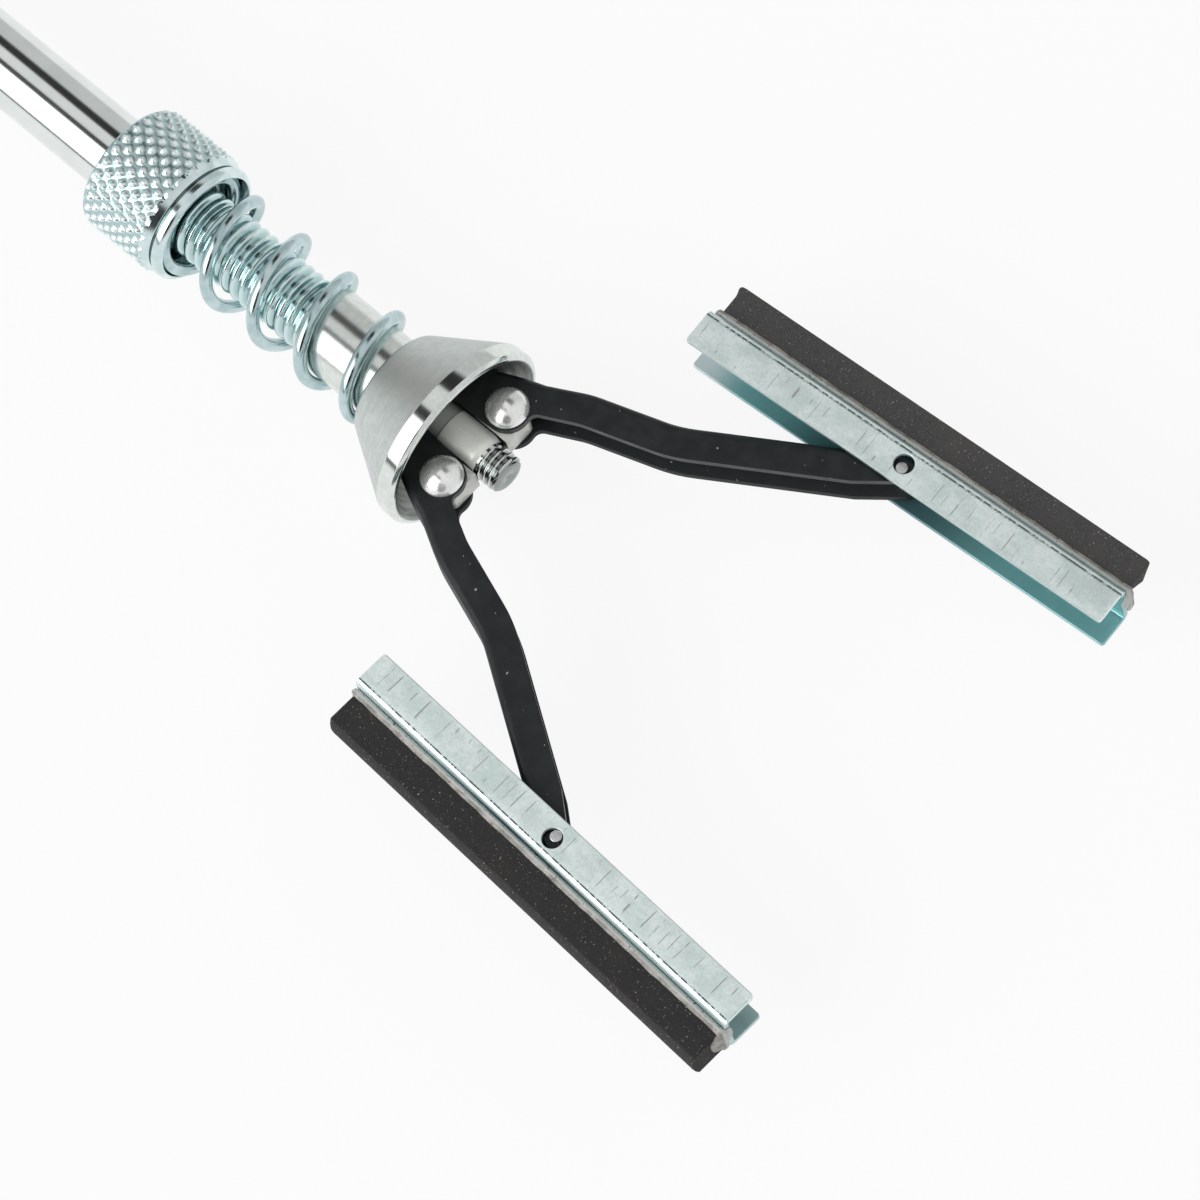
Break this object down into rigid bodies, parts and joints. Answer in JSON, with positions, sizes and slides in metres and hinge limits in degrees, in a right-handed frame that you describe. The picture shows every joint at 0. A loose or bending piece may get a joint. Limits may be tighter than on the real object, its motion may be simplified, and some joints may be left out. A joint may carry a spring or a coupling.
{
  "type": "cylinder hone",
  "caption": "Spring-loaded cylinder hone: round shank, knurled nut, coil spring and sliding cup that spreads pivoting arms with hinged abrasive stones.",
  "frame": {"origin": "on the tool's axis at the mouth of the chuck that holds the shank", "axes": "+X along the tool's axis from the shank to the stones, +Y towards the left arm, +Z along the rivets and pins, upwards in the picture"},
  "size_m": [0.1779, 0.0653, 0.0206],
  "materials": {
    "shaft_zinc": "bright zinc plate",
    "nut_zinc": "bright zinc plate over knurling",
    "spring_wire": "drawn wire with zinc plate",
    "cup_zinc": "turned and zinc plated, bright at the rim",
    "hub_steel": "matt plated",
    "rivet_steel": "polished",
    "arm_black": "satin black",
    "pin_steel": "bright",
    "holder_zinc": "blue-white zinc plate with fine cross scratches",
    "adhesive": "set adhesive, grey-beige",
    "abrasive": "bonded abrasive grit, dark brown-grey"
  },
  "bodies": {
    "root": {"drive_shaft": "shaft_zinc", "hub": "hub_steel", "left_rivet": "rivet_steel", "right_rivet": "rivet_steel"},
    "spring": {"compression_spring": "spring_wire"},
    "nut": {"knurled_nut": "nut_zinc"},
    "cup": {"thrust_cup": "cup_zinc"},
    "left_arm_body": {"left_arm": "arm_black", "left_pivot_pin": "pin_steel"},
    "left_stone_body": {"left_stone_holder": "holder_zinc", "left_adhesive_bed": "adhesive", "left_stone": "abrasive"},
    "right_arm_body": {"right_arm": "arm_black", "right_pivot_pin": "pin_steel"},
    "right_stone_body": {"right_stone_holder": "holder_zinc", "right_adhesive_bed": "adhesive", "right_stone": "abrasive"}
  },
  "joints": [
    {"name": "nut_travel", "type": "slide", "parent": "root", "child": "spring", "axis": [1, 0, 0], "range_m": [0, 0.006], "deforming": ["compression_spring"]},
    {"name": "nut_turn", "type": "hinge", "parent": "spring", "child": "nut", "pos_m": [0.046, 0, 0], "axis": [1, 0, 0], "range_deg": [0, 1729]},
    {"name": "cup_travel", "type": "slide", "parent": "root", "child": "cup", "axis": [1, 0, 0], "range_m": [-0.0036, 0], "deforming": ["compression_spring"]},
    {"name": "left_arm_swing", "type": "hinge", "parent": "root", "child": "left_arm_body", "pos_m": [0.0942, 0.00465, 0], "axis": [0, 0, 1], "range_deg": [-24, 0], "stiffness_Nm_per_rad": 0.2, "springref_deg": 8.59},
    {"name": "right_arm_swing", "type": "hinge", "parent": "root", "child": "right_arm_body", "pos_m": [0.0942, -0.00465, 0], "axis": [0, 0, 1], "range_deg": [0, 24]},
    {"name": "left_stone_turn", "type": "hinge", "parent": "left_arm_body", "child": "left_stone_body", "pos_m": [0.12797, 0.02441, 0], "axis": [0, 0, 1], "range_deg": [0, 24]},
    {"name": "right_stone_turn", "type": "hinge", "parent": "right_arm_body", "child": "right_stone_body", "pos_m": [0.12797, -0.02441, 0], "axis": [0, 0, 1], "range_deg": [-24, 0]}
  ],
  "couplings": [
    {"joint": "nut_turn", "follows": "nut_travel", "rad_per_m": 5026.5},
    {"joint": "cup_travel", "follows": "left_arm_swing", "m_per_rad": 0.0083522},
    {"joint": "right_arm_swing", "follows": "left_arm_swing", "ratio": -1},
    {"joint": "left_stone_turn", "follows": "left_arm_swing", "ratio": -1},
    {"joint": "right_stone_turn", "follows": "left_arm_swing", "ratio": 1}
  ]
}
